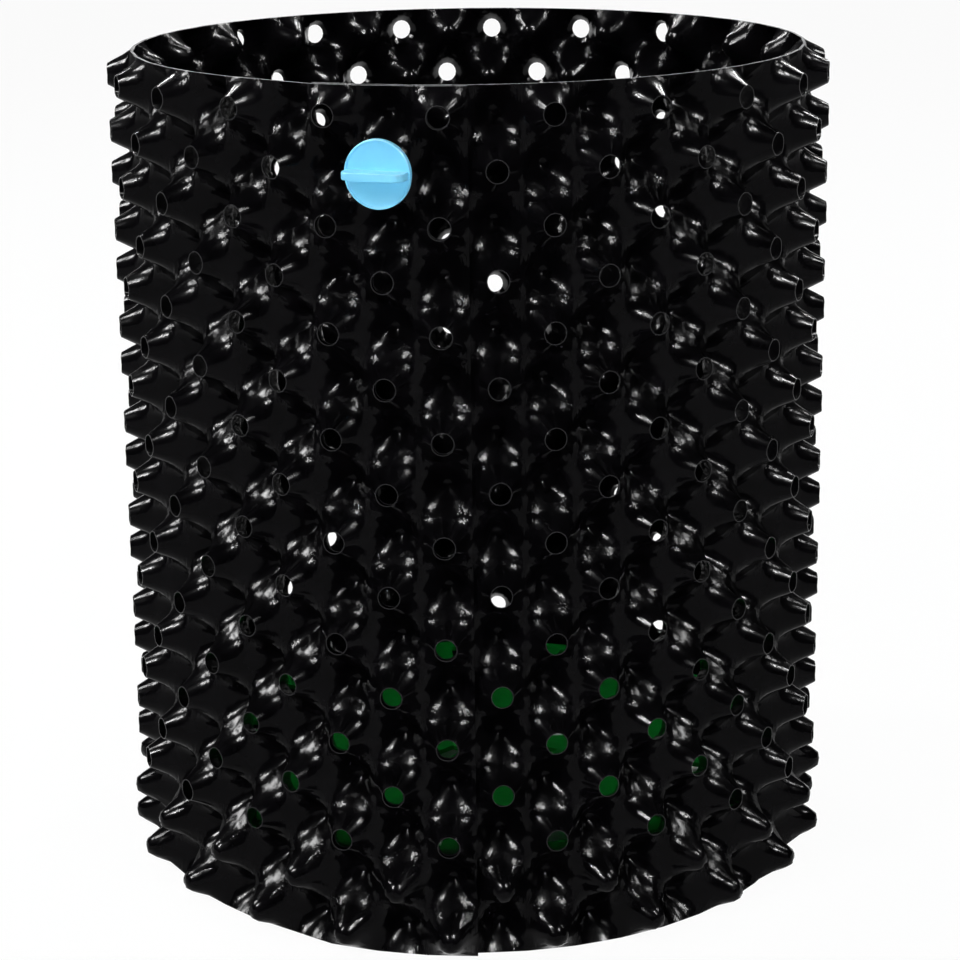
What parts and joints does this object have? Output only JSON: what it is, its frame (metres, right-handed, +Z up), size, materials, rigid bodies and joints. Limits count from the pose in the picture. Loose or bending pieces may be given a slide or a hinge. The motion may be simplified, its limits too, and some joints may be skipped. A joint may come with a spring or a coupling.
{
  "type": "air pruning pot",
  "caption": "Round air pruning pot: a rolled wall of open and closed cones, a slotted base disc laid inside it, and a screw that holds the wall's lap.",
  "frame": {"origin": "centre of the pot's foot, on the surface that it stands on", "axes": "+Z up along the pot's axis towards its mouth; the lap and its screw are at the front, which is -Y, a little towards -X"},
  "size_m": [0.3058, 0.3158, 0.3485],
  "materials": {
    "wall": "gloss black moulded sheet",
    "base": "green moulded plastic",
    "screw": "light blue moulded plastic"
  },
  "bodies": {
    "root": {"wall": "wall", "base_disc": "base", "lap_screw": "screw"}
  },
  "joints": []
}
